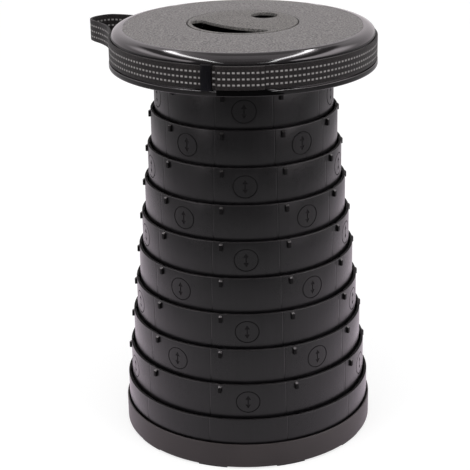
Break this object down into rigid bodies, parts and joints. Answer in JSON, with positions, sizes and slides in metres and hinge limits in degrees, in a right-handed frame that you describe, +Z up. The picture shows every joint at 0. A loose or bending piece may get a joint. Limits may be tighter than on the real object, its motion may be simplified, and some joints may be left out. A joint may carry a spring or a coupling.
{
  "type": "collapsible telescopic stool",
  "caption": "Round collapsible stool: a domed seat on nested plastic tube sections that slide down into a shallow base pan, with a webbing carry strap round the seat.",
  "frame": {"origin": "on the floor, under the middle of the stool, at the centre of the round pad under the base", "axes": "+Z up along the axis of the tube sections, -Y to the front of the picture, +X to its right"},
  "size_m": [0.3115, 0.2849, 0.4539],
  "materials": {
    "base_plastic": "moulded dark grey, satin",
    "section_plastic": "moulded dark grey, satin",
    "seat_plastic": "dark grey, fine texture on top and polished bevel",
    "insert_plastic": "dark grey, satin",
    "strap_webbing": "woven black webbing with light stitch rows",
    "keeper_plastic": "black, satin",
    "pad_rubber": "grey anti-slip pad",
    "screw_steel": "zinc plated"
  },
  "bodies": {
    "base": {"base_pan": "base_plastic", "base_section": "section_plastic", "centre_pad": "pad_rubber", "foot_pad_1": "pad_rubber", "foot_pad_2": "pad_rubber", "foot_pad_3": "pad_rubber", "foot_pad_4": "pad_rubber", "foot_pad_5": "pad_rubber", "foot_pad_6": "pad_rubber", "foot_pad_7": "pad_rubber", "foot_pad_8": "pad_rubber", "foot_pad_9": "pad_rubber", "foot_pad_10": "pad_rubber"},
    "ring_9": {"section_9": "section_plastic"},
    "ring_8": {"section_8": "section_plastic"},
    "ring_7": {"section_7": "section_plastic"},
    "ring_6": {"section_6": "section_plastic"},
    "ring_5": {"section_5": "section_plastic"},
    "ring_4": {"section_4": "section_plastic"},
    "ring_3": {"section_3": "section_plastic"},
    "ring_2": {"section_2": "section_plastic"},
    "ring_1": {"section_1": "section_plastic"},
    "seat": {"seat_tube": "section_plastic", "clamp_ring": "base_plastic", "seat_cover": "seat_plastic", "seat_insert": "insert_plastic", "carry_strap": "strap_webbing", "strap_keeper": "keeper_plastic", "seat_screw_1": "screw_steel", "seat_screw_2": "screw_steel", "seat_screw_3": "screw_steel", "seat_screw_4": "screw_steel", "seat_screw_5": "screw_steel"}
  },
  "joints": [
    {"name": "slide_9", "type": "slide", "parent": "base", "child": "ring_9", "axis": [0, 0, 1], "range_m": [-0.0384, 0]},
    {"name": "slide_8", "type": "slide", "parent": "ring_9", "child": "ring_8", "axis": [0, 0, 1], "range_m": [-0.0384, 0]},
    {"name": "slide_7", "type": "slide", "parent": "ring_8", "child": "ring_7", "axis": [0, 0, 1], "range_m": [-0.0384, 0]},
    {"name": "slide_6", "type": "slide", "parent": "ring_7", "child": "ring_6", "axis": [0, 0, 1], "range_m": [-0.0384, 0]},
    {"name": "slide_5", "type": "slide", "parent": "ring_6", "child": "ring_5", "axis": [0, 0, 1], "range_m": [-0.0384, 0]},
    {"name": "slide_4", "type": "slide", "parent": "ring_5", "child": "ring_4", "axis": [0, 0, 1], "range_m": [-0.0384, 0]},
    {"name": "slide_3", "type": "slide", "parent": "ring_4", "child": "ring_3", "axis": [0, 0, 1], "range_m": [-0.0384, 0]},
    {"name": "slide_2", "type": "slide", "parent": "ring_3", "child": "ring_2", "axis": [0, 0, 1], "range_m": [-0.0384, 0]},
    {"name": "slide_1", "type": "slide", "parent": "ring_2", "child": "ring_1", "axis": [0, 0, 1], "range_m": [-0.0384, 0]},
    {"name": "slide_seat", "type": "slide", "parent": "ring_1", "child": "seat", "axis": [0, 0, 1], "range_m": [-0.0384, 0]}
  ]
}
